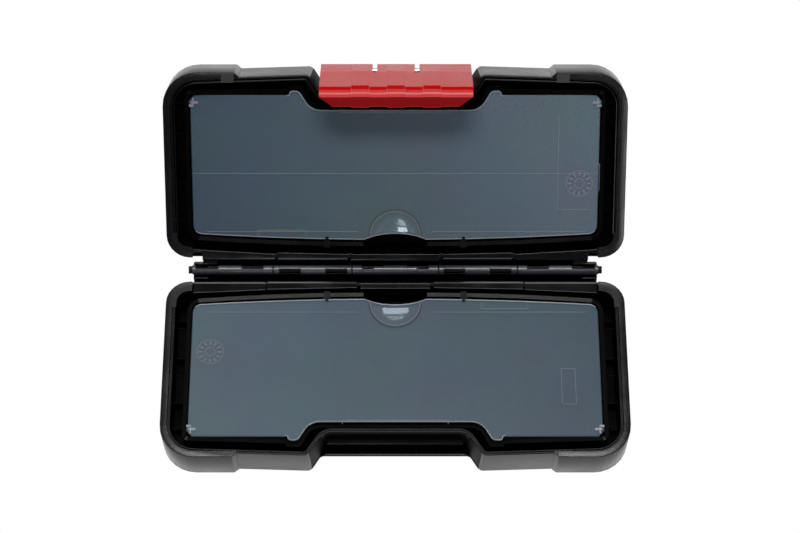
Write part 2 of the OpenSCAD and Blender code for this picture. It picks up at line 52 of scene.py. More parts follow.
def both_sides(right_half):
    """Corners of the right half and their mirror images."""
    return right_half + [(-x, y, r) for x, y, r in reversed(right_half)]


def inside(corners, by):
    """Corners (across, reach, radius) moved inwards, with radii that keep the wall even."""
    trios = list(zip(corners[-1:] + corners[:-1], corners, corners[1:] + corners[:1]))
    area = sum(a[0] * b[1] - a[1] * b[0] for a, b, c in trios)
    side = 1 if area > 0 else -1
    moved = []
    for a, b, c in trios:
        to = (Vector(b[:2]) - Vector(a[:2])).normalized()
        on = (Vector(c[:2]) - Vector(b[:2])).normalized()
        n1, n2 = Vector((-to.y, to.x)) * side, Vector((-on.y, on.x)) * side
        shift = (n1 + n2) * (by / (1 + n1.dot(n2)))
        bulges = (to.x * on.y - to.y * on.x) * side > 0
        radius = b[2] - by if bulges else b[2] + by
        moved.append((b[0] + shift.x, b[1] + shift.y, max(radius, LEAST_RADIUS) if b[2] else 0))
    return moved


def outline(bm, corners, height, steps):
    """Face through corners (across, reach, radius) at one height, with its corners rounded."""
    before = set(bm.faces)
    verts = [bm.verts.new((x, y, height)) for x, y, r in corners]
    bm.faces.new(verts)
    for vert, (x, y, r) in zip(verts, corners):
        if r > 0:
            a, b = [(edge.other_vert(vert).co - vert.co).normalized() for edge in vert.link_edges]
            bmesh.ops.bevel(bm, geom=[vert], offset=r / math.tan(a.angle(b) / 2),
                            offset_type="OFFSET", affect="VERTICES", segments=steps, profile=0.5,
                            material=-1, clamp_overlap=False)
    return next(face for face in bm.faces if face not in before)


def loft(bm, layers, ring=False, steps=7):
    """Skin over outlines (corners, height). A ring closes on its first outline, as a wall does."""
    # the outlines stand far apart while they are bridged, so that only like corners join
    apart = 100
    faces = [outline(bm, corners, apart * i, steps) for i, (corners, height) in enumerate(layers)]
    loops = [list(face.edges) for face in faces]
    levels = [list(face.verts) for face in faces]
    bmesh.ops.delete(bm, geom=faces if ring else faces[1:-1], context="FACES_ONLY")
    for a, b in zip(loops, loops[1:] + loops[:1] if ring else loops[1:]):
        bmesh.ops.bridge_loops(bm, edges=a + b)
    for verts, (corners, height) in zip(levels, layers):
        for vert in verts:
            vert.co.z = height
    return sum(levels, [])


def wall(bm, corners, section):
    """Closed wall along corners with a section of (distance inwards, height)."""
    return loft(bm, [(inside(corners, e), w) for e, w in section], ring=True)


def block(bm, x, v, w):
    """Rectangular part from x[0] to x[1], v[0] to v[1] and w[0] to w[1]."""
    size = Matrix.Diagonal((x[1] - x[0], v[1] - v[0], w[1] - w[0], 1))
    middle = Matrix.Translation(((x[0] + x[1]) / 2, (v[0] + v[1]) / 2, (w[0] + w[1]) / 2))
    return bmesh.ops.create_cube(bm, size=1, matrix=middle @ size)["verts"]


def pair(bm, x, v, w):
    """The same block on the right and on the left."""
    block(bm, x, v, w)
    block(bm, (-x[1], -x[0]), v, w)


def prism(bm, x0, x1, section):
    """Bar from x0 to x1 with a section of (reach, height)."""
    ends = [bm.faces.new([bm.verts.new((x, v, w)) for v, w in section]) for x in (x0, x1)]
    bmesh.ops.bridge_loops(bm, edges=list(ends[0].edges) + list(ends[1].edges))


def keep(bm, verts, planes, away):
    """Cuts a part at planes (point, normal), drops what away(middle) names and closes the ends."""
    part = {v for v in verts if v.is_valid}
    for point, normal in planes:
        geom = list(part) + [e for e in bm.edges if e.verts[0] in part and e.verts[1] in part]
        geom += [f for f in bm.faces if all(v in part for v in f.verts)]
        cut = bmesh.ops.bisect_plane(bm, geom=geom, plane_co=point, plane_no=normal, dist=1e-5)
        part |= {v for v in cut["geom_cut"] if isinstance(v, bmesh.types.BMVert)}
    faces = [f for f in bm.faces if all(v in part for v in f.verts)]
    gone = [f for f in faces if away(f.calc_center_median())]
    bmesh.ops.delete(bm, geom=gone, context="FACES")
    part = {v for v in part if v.is_valid}
    ends = [e for e in bm.edges if e.is_boundary and e.verts[0] in part and e.verts[1] in part]
    bmesh.ops.holes_fill(bm, edges=ends, sides=0)
    return list(part)


def piece(name, bm, place, material, body, edge=0.25, smooth=35):
    """Object of a finished part, with its place in its mesh and its sharp edges eased."""
    bmesh.ops.transform(bm, matrix=place, verts=bm.verts)
    bmesh.ops.recalc_face_normals(bm, faces=bm.faces)
    for face in bm.faces:
        face.smooth = True
    mesh = bpy.data.meshes.new(name)
    bm.to_mesh(mesh)
    bm.free()
    mesh.set_sharp_from_angle(angle=math.radians(smooth))
    mesh.materials.append(material)
    obj = bpy.data.objects.new(name, mesh)
    bpy.context.collection.objects.link(obj)
    if edge:
        ease = obj.modifiers.new("eased edges", "BEVEL")
        ease.width, ease.segments, ease.limit_method = edge * MM, 2, "ANGLE"
        ease.angle_limit, ease.harden_normals = math.radians(smooth), True
    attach(obj, body)
    return obj


def new_material(name):
    """Material with its nodes, its links and its shader."""
    mat = bpy.data.materials.new(name)
    mat.use_nodes = True
    nodes, links = mat.node_tree.nodes, mat.node_tree.links
    return mat, nodes, links, nodes["Principled BSDF"]


def noise(nodes, links, scale, detail):
    """Noise that stays with the piece as it moves."""
    place, cloud = nodes.new("ShaderNodeTexCoord"), nodes.new("ShaderNodeTexNoise")
    cloud.inputs["Scale"].default_value, cloud.inputs["Detail"].default_value = scale, detail
    links.new(place.outputs["Object"], cloud.inputs["Vector"])
    return cloud


def moulded(name, colour, rough, grain, grain_size, mottle=0.2, sheen=0.5):
    """Moulded plastic: fine spark-eroded grain, with a tone and gloss that drift a little."""
    mat, nodes, links, shader = new_material(name)
    shader.inputs["Specular IOR Level"].default_value = sheen
    cloud = noise(nodes, links, 45, 5)
    tone = nodes.new("ShaderNodeValToRGB")
    stops = zip(tone.color_ramp.elements, (0.3, 0.75), (1 - mottle, 1 + mottle))
    for stop, position, share in stops:
        stop.position, stop.color = position, (*[c * share for c in colour], 1)
    links.new(cloud.outputs["Fac"], tone.inputs["Fac"])
    links.new(tone.outputs["Color"], shader.inputs["Base Color"])
    gloss = nodes.new("ShaderNodeMapRange")
    for end, level in (("From Min", 0.3), ("From Max", 0.7),
                       ("To Min", rough - 0.05), ("To Max", rough + 0.06)):
        gloss.inputs[end].default_value = level
    links.new(cloud.outputs["Fac"], gloss.inputs["Value"])
    links.new(gloss.outputs["Result"], shader.inputs["Roughness"])
    spark = noise(nodes, links, 1000 / grain_size, 3)
    bump = nodes.new("ShaderNodeBump")
    bump.inputs["Strength"].default_value, bump.inputs["Distance"].default_value = grain, 0.00015
    links.new(spark.outputs["Fac"], bump.inputs["Height"])
    links.new(bump.outputs["Normal"], shader.inputs["Normal"])
    return mat


black_shell = moulded("black moulded shell", (0.003, 0.003, 0.0037), 0.27, 0.2, 0.5, sheen=0.31)
# a near-black, dull copy of the shell plastic, for painted shade in the gaps and depths
shaded_shell = moulded("black shell painted in shade between the walls", (0.0008, 0.0008, 0.001), 0.5, 0.2, 0.5,
                       sheen=0.05)

# outlines from above, with corners (across, reach, radius)
CASE_LINE = both_sides([(40.4, 101.8, 8), (49.6, 115.9, 4), (129.3, 113.2, 16), (129.3, 7.6, 10)])
CASE_FOOT = both_sides([(37.4, 98.9, 7), (48.2, 116.2, 3.5), (129.3, 113.7, 15), (129.3, 7.6, 10)])
FLOOR_LINE = both_sides([(42.4, 107.4, 3), (47.6, 115.7, 3), (129.3, 113.2, 15), (129.3, 7.6, 10)])
TRAY_LINE = both_sides([
    (46.7, 97, 8), (50.2, 101.7, 0), (53.4, 108.6, 2), (61.6, 108.6, 1), (61.6, 106.6, 0.5),
    (120.6, 106.6, 4), (120.6, 18.1, 8), (98, 16.6, 0), (72, 15.2, 0), (44, 14.3, 0),
    (18.5, 14, 0)])
GAP_LINE = [(-18.6, 13.9, 0), (18.6, 13.9, 0), (18.6, 14.6, 1), (0, 20.5, 40), (-18.6, 14.6, 1)]
# sections of the walls, with corners (distance inwards, height)
WALL_TOP = ((0, -1.2), (0.3, -0.9), (1.6, -0.9))
WALL_FOOT = ((1.9, FLOOR), (1.0, -24.9), (0.9, -24.95), (0.25, -24.6), (0, -23.8))
FLOOR_EDGE = ((1.0, OUTSIDE), (0.3, -24.7), (0.05, FLOOR - 0.6), (0.5, FLOOR))
TRAY_WALL = ((0, -1.5), (2.4, -1.5), (2.4, FLOOR), (0, FLOOR))
LEDGE = ((2.3, -4.2), (5, -4.2), (5, FLOOR), (2.3, FLOOR))
LOWER_RIM = ((0.8, -4), (0.8, -2), (1.1, -2), (1.15, -0.15), (1.3, 0), (1.8, 0), (1.95, -0.2),
             (2, -4))
# places where the walls are cut, lowered or tied together
GAP_SIDE, GAP_TOP = 18.5, -14
RECESS_SIDE, RECESS_TOP = 62.5, -6
LEDGE_END, LEDGE_GAP_SIDE = 93, 22.5
CORNER_GAP = (112.6, 118.3)
RIB, RIB_TOP, SIDE_RIBS, REAR_RIBS = 0.6, -15, (26, 50, 78, 93), (24, 62, 100)
TIE, SIDE_TIES = 0.35, (36, 66, 99)
GLOSSY_NOSE = (104.6, 105.3)


def on_outside(face):
    """Whether a face of the shell is at its top, underneath, or turned away from its middle."""
    middle = face.calc_center_median()
    outwards = middle - Vector((0, 60, middle.z))
    return middle.z > -1.5 or face.normal.z < -0.3 or face.normal.dot(outwards) > 0


def tray(bm, rims, rim_end, rear_fall, open_corners):
    """Outer wall, floor, compartment wall with its ledge, and the ribs between the walls."""
    shell = loft(bm, [(inside(CASE_LINE, e), w) for e, w in WALL_TOP]
                 + [(inside(CASE_FOOT, e), w) for e, w in WALL_FOOT], ring=True)
    if open_corners:
        near, far = CORNER_GAP
        keep(bm, shell, [((x, 0, 0), (1, 0, 0)) for x in (-far, -near, near, far)],
             lambda c: near < abs(c.x) < far and c.y < 12)
        pair(bm, CORNER_GAP, (7.6, 9.5), (-24.9, -2.3))
    loft(bm, [(inside(FLOOR_LINE, e), w) for e, w in FLOOR_EDGE])
    bmesh.ops.recalc_face_normals(bm, faces=bm.faces)
    outer = {face for face in bm.faces if on_outside(face)}
    # rims on the outer wall, round the front and the sides up to the rear corners
    rim = [vert for section in rims for vert in wall(bm, CASE_LINE, section)]
    keep(bm, rim, [((0, rim_end, 0), (0, 1, 0))], lambda c: c.y < rim_end)
    # compartment wall, lower round the latch recess and open at the finger gap
    ring = wall(bm, TRAY_LINE, TRAY_WALL)
    ring = keep(bm, ring, [((side * GAP_SIDE, 0, 0), (1, 0, 0)) for side in (1, -1)],
                lambda c: abs(c.x) < GAP_SIDE and c.y < 30)
    loft(bm, [(GAP_LINE, FLOOR), (GAP_LINE, GAP_TOP)])
    for top in [vert for vert in ring if vert.co.z > -3]:
        if abs(top.co.x) < RECESS_SIDE and top.co.y > 80:
            top.co.z = RECESS_TOP
        elif top.co.y < 30:
            top.co.z -= rear_fall * max(0, top.co.y - 12)
    # ledge under the cover, and the two clips over its rear edge
    ledge = wall(bm, TRAY_LINE, LEDGE)
    keep(bm, ledge, [((0, LEDGE_END, 0), (0, 1, 0))]
         + [((side * LEDGE_GAP_SIDE, 0, 0), (1, 0, 0)) for side in (1, -1)],
         lambda c: c.y > LEDGE_END or (abs(c.x) < LEDGE_GAP_SIDE and c.y < 40))
    pair(bm, (38, 41.6), (13.2, 18.1), (-6, -1.6))
    pair(bm, (39, 40.6), (17.6, 19.4), (-3, -1.9))
    # ties and ribs between the two walls
    for v in SIDE_TIES:
        pair(bm, (121.6, 125.8), (v - TIE, v + TIE), (-4.6, -3.6))
    for v in SIDE_RIBS:
        pair(bm, (119.7, 127.6), (v - RIB, v + RIB), (FLOOR, RIB_TOP))
    for x in REAR_RIBS:
        pair(bm, (x - RIB, x + RIB), (9, 15), (FLOOR, RIB_TOP))
    # painted shade: the gap between the walls, the depths of the tray and the tops of its side
    # walls get the near-black, dull copy of the plastic, so they catch no light, except on the
    # rib's nose
    for face in bm.faces:
        middle = face.calc_center_median()
        deep = middle.z < -3 or (middle.z < -1.4 and abs(middle.x) > 115)
        on_nose = GLOSSY_NOSE[0] < middle.y < GLOSSY_NOSE[1]
        face.material_index = int(face not in outer and deep and not on_nose)


CATCH_RIB = [(99, -12.6), (104.7, -11.4), (105.1, -10.9), (104.7, -10.5), (99, -9.6)]
LOW_RIB = [(99, -18), (103.2, -17.6), (103.2, -17.1), (99, -16)]
GUSSET, GUSSETS = 0.8, (-24.9, -8.2, 7.4, 24.6)

bm = bmesh.new()
tray(bm, [LOWER_RIM], 24, 0.07, False)
# in the recess: the catch rib, a rib under it, and a lip with gussets on the floor
prism(bm, -38.5, 38.5, CATCH_RIB)
prism(bm, -36, 36, LOW_RIB)
block(bm, (-40, 40), (104.3, 106.9), (-23, -21.4))
for x in GUSSETS:
    block(bm, (x - GUSSET, x + GUSSET), (99, 106), (-23, -20.6))
# painted shade on the recess's lower faces as well, except on the catch rib's nose
for face in bm.faces:
    middle = face.calc_center_median()
    if abs(middle.x) < 39 and 98 < middle.y < 106.9 and middle.z < -9:
        face.material_index = int(not GLOSSY_NOSE[0] < middle.y < GLOSSY_NOSE[1])
lower_tray = piece("lower_tray", bm, ON_BASE, black_shell, "base")
lower_tray.data.materials.append(shaded_shell)
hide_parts("lower_shell")

# Lid tray: the same moulding turned over as the lid. Two low rims leave a groove for the
# lower rim between them, and two ears in the recess hold the latch's pin.
LID_RIMS = [((0.2, -1), (0.25, -0.2), (0.4, -0.1), (0.75, -0.1), (0.8, -1)),
            ((2.2, -1), (2.25, -0.2), (2.4, -0.1), (3.0, -0.1), (3.1, -0.3), (3.1, -1))]

bm = bmesh.new()
tray(bm, LID_RIMS, 22, 0, True)
pair(bm, (11.35, 13.05), (97.8, 110.4), (-24, -17))
lid_tray = piece("lid_tray", bm, ON_LID, black_shell, "lid")
lid_tray.data.materials.append(shaded_shell)
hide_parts("upper_shell")

# Hinge: long knuckles round the pins, windowed on their upper side and moulded in one with
# the trays, three groups on the base and two on the lid. Rim strips run beside them, and
# the slanted heels are the walls that the open lid leans on.
KNUCKLE = 2.75
HEEL_SIDE, HEEL_TOP = 117.7, -3.3
HEEL = [(-1.1, HEEL_TOP), (-9.7, OUTSIDE), (-7.5, OUTSIDE), (1, HEEL_TOP)]
# groups of knuckles (from, to, windows), with windows (from, to, height that is kept)
LOWER_KNUCKLES = [(-118.5, -71.6, [(-116.5, -103.2, 0.3), (-89.6, -77, 0.3)]),
                  (-24.9, 24.9, [(-19.5, -12.8, 0.3), (-12.4, -7, 1.2),
                                 (7, 12.4, 1.2), (12.8, 19.5, 0.3)]),
                  (71.6, 118.5, [(77, 89.6, 0.3), (103.2, 116.5, 0.3)])]
LID_KNUCKLES = [(-71, -25.5, [(-67.7, -55.2, -0.6), (-40.7, -28.2, -0.6)]),
                (25.5, 71, [(28.2, 40.7, -0.6), (55.2, 67.7, -0.6)])]
LOWER_WINDOWS_FACE, LID_WINDOWS_FACE = (0, -0.896, 0.4435), (0, -0.958, 0.287)

# the knuckles get the trays' black plastic painted far lighter and bluer, a painted highlight for
# the light along the barrels
knuckle_highlight_plastic = moulded("knuckle plastic with painted highlight", (0.04, 0.043, 0.053), 0.2, 0.15, 0.5, sheen=0.75)
hinge_shell = moulded("smooth hinge plastic", (0.0025, 0.0025, 0.0032), 0.14, 0.05, 0.5, sheen=0.6)


def knuckles(name, groups, windows_face, place, body):
    """Rods round the hinge line, cut flat in their windows on the side that they face."""
    bm = bmesh.new()
    side = Vector(windows_face).normalized()
    for x0, x1, windows in groups:
        ends = [x0] + [x for window in windows for x in window[:2]] + [x1]
        for i, (a, b) in enumerate(zip(ends, ends[1:])):
            lying = Matrix.Translation(((a + b) / 2, 0, 0)) @ Matrix.Rotation(math.pi / 2, 4, "Y")
            rod = bmesh.ops.create_cone(bm, cap_ends=True, segments=32, radius1=KNUCKLE,
                                        radius2=KNUCKLE, depth=b - a, matrix=lying)["verts"]
            if i % 2:
                kept = windows[i // 2][2]
                keep(bm, rod, [(side * kept, side)], lambda c: c.dot(side) > kept)
    made = piece(name, bm, place, knuckle_highlight_plastic, body, edge=0.3)


def heel(bm, groups, floor_side, plate_reach, plate_foot):
    """Slanted wall, floor and rear wall of the hinge channel, end plates and knuckle arms."""
    prism(bm, -HEEL_SIDE, HEEL_SIDE, HEEL)
    block(bm, (-floor_side, floor_side), (-8.6, 9), (-24.95, FLOOR))
    block(bm, (-floor_side, floor_side), (7.6, 9.4), (-24.8, -2))
    pair(bm, (109.5, 118.1), (-1.1, plate_reach), (plate_foot, HEEL_TOP))
    for x0, x1 in groups:
        block(bm, (x0, min(x1, HEEL_SIDE)), (-0.8, 1.2), (-3.6, -2))
        for x in (x0 + 1, (x0 + x1) / 2, x1 - 1):
            block(bm, (x - 0.8, x + 0.8), (0, 8), (-16, -9))


def strip(bm, x, near, far, w=(-3, -0.1), turn=1.6, lean=75):
    """Rim strip and its mirror image, rounded towards the hinge. It starts at reach near, and
    ends at reach far[0] at x[0] and far[1] at x[1]."""
    leans = [math.radians(lean) * k / 6 for k in range(6, -1, -1)]
    rounding = [(near + turn * (math.sin(leans[0]) - math.sin(a)), w[1] - turn * (1 - math.cos(a)))
                for a in leans]
    for side in (-1, 1):
        ends = []
        for across, end in zip(x, far):
            section = [(near, w[0])] + rounding + [(end, w[1]), (end, w[0])]
            ends.append(bm.faces.new([bm.verts.new((side * across, v, h)) for v, h in section]))
        bmesh.ops.bridge_loops(bm, edges=list(ends[0].edges) + list(ends[1].edges))


knuckles("lower_knuckles", LOWER_KNUCKLES, LOWER_WINDOWS_FACE, ON_BASE, "base")
bm = bmesh.new()
strip(bm, (75.2, 117.6), 7.2, (13, 15), turn=6, lean=20)
strip(bm, (22.3, 74.8), 6.7, (11.4, 12.4), (-3, -0.6), 6, 20)
strip(bm, (0, 20.5), 7.5, (12.1, 12.1), turn=6, lean=20)
heel(bm, [(-118.2, -71.6), (-24.9, 24.9), (71.6, 118.2)], 117.7, 3.9, -24.9)
lower_hinge = piece("lower_hinge", bm, ON_BASE, hinge_shell, "base", edge=0.3)

knuckles("lid_knuckles", LID_KNUCKLES, LID_WINDOWS_FACE, ON_LID, "lid")
bm = bmesh.new()
strip(bm, (70, 112.6), 5.4, (9.5, 12))
strip(bm, (112.6, 118), 9.6, (12, 12.6))
strip(bm, (27.5, 68.8), 5, (9.4, 10.3), (-3, -0.5))
strip(bm, (27.8, 68.4), 5.9, (7.1, 7.1), (-1, 0), 0.6)
pair(bm, (104, 112.6), (2, 6), (-8, -3.4))
strip(bm, (0, 26), 4.7, (9.3, 9.4), (-3, -0.4))
heel(bm, [(-71, -25.5), (25.5, 71)], 112.4, 3, -7)
lid_hinge = piece("lid_hinge_strip", bm, ON_LID, hinge_shell, "lid", edge=0.3)

# End guards: thick U-shaped bumpers in softer grained plastic, snapped over the ends
# of both trays. The lid's pair has a tab that laps over the rim beside each front leg.
guard_plastic = moulded("grained guard plastic", (0.0045, 0.0045, 0.0055), 0.26, 0.35, 0.6,
                        sheen=0.55)
# a paler grey plastic, used on the lid guards' tabs
paler_tab_plastic = moulded("paler guard plastic on the tabs", (0.05, 0.05, 0.053), 0.45, 0.6, 0.9)
GUARD_LINE = both_sides([(133.2, 117.2, 20), (133.2, 7.3, 13.5)])
GUARD_WALL = ((3.9, -0.1), (0.7, -0.1), (0.2, -0.25), (0, -0.6), (0, -23.8), (0.3, -24.7),
              (1.4, -25), (3.9, -25))
REAR_WIDENING = ((3.8, -0.1), (6.2, -0.1), (6.2, -3), (3.8, -3))
FRONT_LEG_END, FRONT_LEG_STEP, REAR_LEG_END = 89.4, 91.8, 118.3
FRONT_LEG_REACH = 115


def guard(name, side, place, body, node, tab, widened):
    """Guard on the right side, or on the left where side is -1, widened inwards up to a reach."""
    bm = bmesh.new()
    ring = wall(bm, GUARD_LINE, GUARD_WALL)
    keep(bm, ring, [((x, 0, 0), (1, 0, 0)) for x in (FRONT_LEG_END, FRONT_LEG_STEP, REAR_LEG_END)],
         lambda c: c.x < FRONT_LEG_END or (c.x < REAR_LEG_END and c.y < 60))
    for vert in bm.verts:
        if vert.co.x < (FRONT_LEG_END + FRONT_LEG_STEP) / 2 and vert.co.y > 60:
            vert.co.y = min(vert.co.y, FRONT_LEG_REACH)
    corner = wall(bm, GUARD_LINE, REAR_WIDENING)
    keep(bm, corner, [((0, widened, 0), (0, 1, 0)), ((REAR_LEG_END, 0, 0), (1, 0, 0))],
         lambda c: c.y > widened or c.x < REAR_LEG_END)
    if tab:
        lap = block(bm, (92.1, 99.4), (111.3, 116.3), (-1.3, -0.05))
        for face in {face for vert in lap for face in vert.link_faces}:
            face.material_index = 1
    if side < 0:
        bmesh.ops.transform(bm, matrix=Matrix.Diagonal((-1, 1, 1, 1)), verts=bm.verts)
    made = piece(name, bm, place, guard_plastic, body, edge=0.3)
    made.data.materials.append(paler_tab_plastic)
    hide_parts(node)


guard("lower_guard_r", 1, ON_BASE, "base", "lower_guard_right", False, 24)
guard("lower_guard_l", -1, ON_BASE, "base", "lower_guard_left", False, 24)
guard("lid_guard_r", 1, ON_LID, "lid", "upper_guard_right", True, 22)
guard("lid_guard_l", -1, ON_LID, "lid", "upper_guard_left", True, 22)

# Inner covers: thin milky copolyester lids, one in each tray. They pivot on studs at
# their front corners and have a bowed rear edge with a notch and a dish for a finger.
COVER_LINE = both_sides([
    (48.3, 94.9, 9), (55.1, 106.1, 3.5), (61, 106.1, 2.2), (61, 103.5, 0.4), (115, 103.5, 0.8),
    (117.5, 101, 0.8), (117.5, 21.2, 5), (98, 20, 0), (72, 18.8, 0), (44, 17.9, 0),
    (17.9, 17.5, 1.5)])
NOTCH_ARC = (0, 25.3, 40.5)
COVER_LINE.insert(len(COVER_LINE) // 2, NOTCH_ARC)
COVER_TOP, COVER_THICK = -2.5, 1.4
COVER_FOOT = COVER_TOP - COVER_THICK
COVER_EDGE = ((0.05, COVER_TOP - 0.5), (0.1, COVER_TOP + 0.1), (0.3, COVER_TOP + 0.25),
              (0.6, COVER_TOP + 0.1), (0.6, COVER_TOP - 0.5))
STUD, STUD_LONG, STUD_MIDDLE = 1.2, 6.4, (116.7, 99.2, -3.7)
DISH_MIDDLE, DISH_BALL, DISH_THICK = (0, 20.3, 7.6), 17.5, 0.9
FLAT_MIDDLE, FLAT_BALL = (-1.4, 5.7, 130.9), 140
DISH_REAR = 20.7
DISH_HIGHLIGHT_RING, DISH_HIGHLIGHT_RING_WIDE = 14.1, 0.7
DIAL_RINGS, DIAL_MARKS, DIAL_MARK_ENDS = (2.6, 7.4), 12, (4.9, 6.4)
# cover tones at the left and right ends, painted light: each cover is lighter on the side where
# more light falls
LOWER_PAINTED_LIGHT_TONES = ((0.315, 0.455, 0.565), (0.22, 0.33, 0.42))
LID_PAINTED_LIGHT_TONES = ((0.225, 0.335, 0.43), (0.43, 0.58, 0.7))
# the pale edge tone and the pale line tone are painted highlights; the dish keeps a tone of its own
EDGE_HIGHLIGHT_TONE, LINE_HIGHLIGHT_TONE, DISH_TONE = (0.62, 0.66, 0.7), (0.55, 0.6, 0.64), (0.32, 0.38, 0.42)
LOWER_DIAL, LID_DIAL = (-106.5, 51.5), (106.5, 51.5)
LOWER_LINES = [[(-110, 26.2), (-22, 26.2)], [(22, 26.2), (110, 26.2)],
               [(-30, 96), (-30, 93.8), (30, 93.8), (30, 96)],
               [(50, 20), (50, 24), (77, 24), (77, 20)],
               [(95, 62), (95, 84), (103, 84), (103, 62), (95, 62)]]
LID_LINES = [[(-110, 22.6), (-22, 22.6)], [(22, 22.6), (110, 22.6)], [(-117, 57.5), (117, 57.5)],
             [(-31, 96), (-31, 93.6), (31, 93.6), (31, 96)],
             [(-80, 19.6), (-80, 23.4), (-52, 23.4), (-52, 18.8)],
             [(72, 19.2), (72, 22.6), (79, 22.6), (79, 19.6)],
             [(94, 92), (94, 36), (116, 36)], [(115.2, 63), (118, 63), (118, 47)]]


def clear_plastic(name, left, right, alpha, rough):
    """Translucent plastic whose tone runs from its left to its right colour across the cover as
    painted light and shade, with soft clouds and fine scuffs.
    """
    mat, nodes, links, shader = new_material(name)
    shader.inputs["Alpha"].default_value = alpha
    # painted light and shade: the tone runs from the left colour to the right one across the cover
    place, parts, drift = (nodes.new("ShaderNode" + kind)
                           for kind in ("TexCoord", "SeparateXYZ", "MapRange"))
    links.new(place.outputs["Object"], parts.inputs[0])
    drift.inputs["From Min"].default_value, drift.inputs["From Max"].default_value = -0.12, 0.12
    links.new(parts.outputs["X"], drift.inputs["Value"])
    tone = nodes.new("ShaderNodeMix")
    tone.data_type = "RGBA"
    tone.inputs["A"].default_value, tone.inputs["B"].default_value = (*left, 1), (*right, 1)
    links.new(drift.outputs["Result"], tone.inputs["Factor"])
    cloud = noise(nodes, links, 22, 6)
    veil = nodes.new("ShaderNodeMix")
    veil.data_type, veil.blend_type = "RGBA", "MULTIPLY"
    veil.inputs["Factor"].default_value = 0.28
    links.new(tone.outputs["Result"], veil.inputs["A"])
    links.new(cloud.outputs["Color"], veil.inputs["B"])
    links.new(veil.outputs["Result"], shader.inputs["Base Color"])
    scuff = noise(nodes, links, 350, 3)
    gloss = nodes.new("ShaderNodeMapRange")
    gloss.inputs["To Min"].default_value = rough * 0.7
    gloss.inputs["To Max"].default_value = rough * 1.3
    links.new(scuff.outputs["Fac"], gloss.inputs["Value"])
    links.new(gloss.outputs["Result"], shader.inputs["Roughness"])
    return mat


def bead(bm, path, width=0.35, height=0.18):
    """Raised line through points (across, reach) on top of the cover."""
    for (x0, v0), (x1, v1) in zip(path, path[1:]):
        run = Vector((x1 - x0, v1 - v0))
        middle = Matrix.Translation(((x0 + x1) / 2, (v0 + v1) / 2, COVER_TOP + height / 2))
        turn = Matrix.Rotation(math.atan2(run.y, run.x), 4, "Z")
        size = Matrix.Diagonal((run.length + width, width, height, 1))
        bmesh.ops.create_cube(bm, size=1, matrix=middle @ turn @ size)


def ring_bead(bm, x, v, radius, width, height=0.18, turn=2 * math.pi):
    """Raised circle on top of the cover, or a part of one."""
    profile = [(radius, 0), (radius, height), (radius + width, height), (radius + width, 0)]
    verts = [bm.verts.new((x + r, v, COVER_TOP + h)) for r, h in profile]
    edges = [bm.edges.new(two) for two in zip(verts, verts[1:] + verts[:1])]
    bmesh.ops.spin(bm, geom=verts + edges, cent=(x, v, 0), axis=(0, 0, 1), dvec=(0, 0, 0),
                   angle=turn, steps=40, use_merge=turn > math.pi)


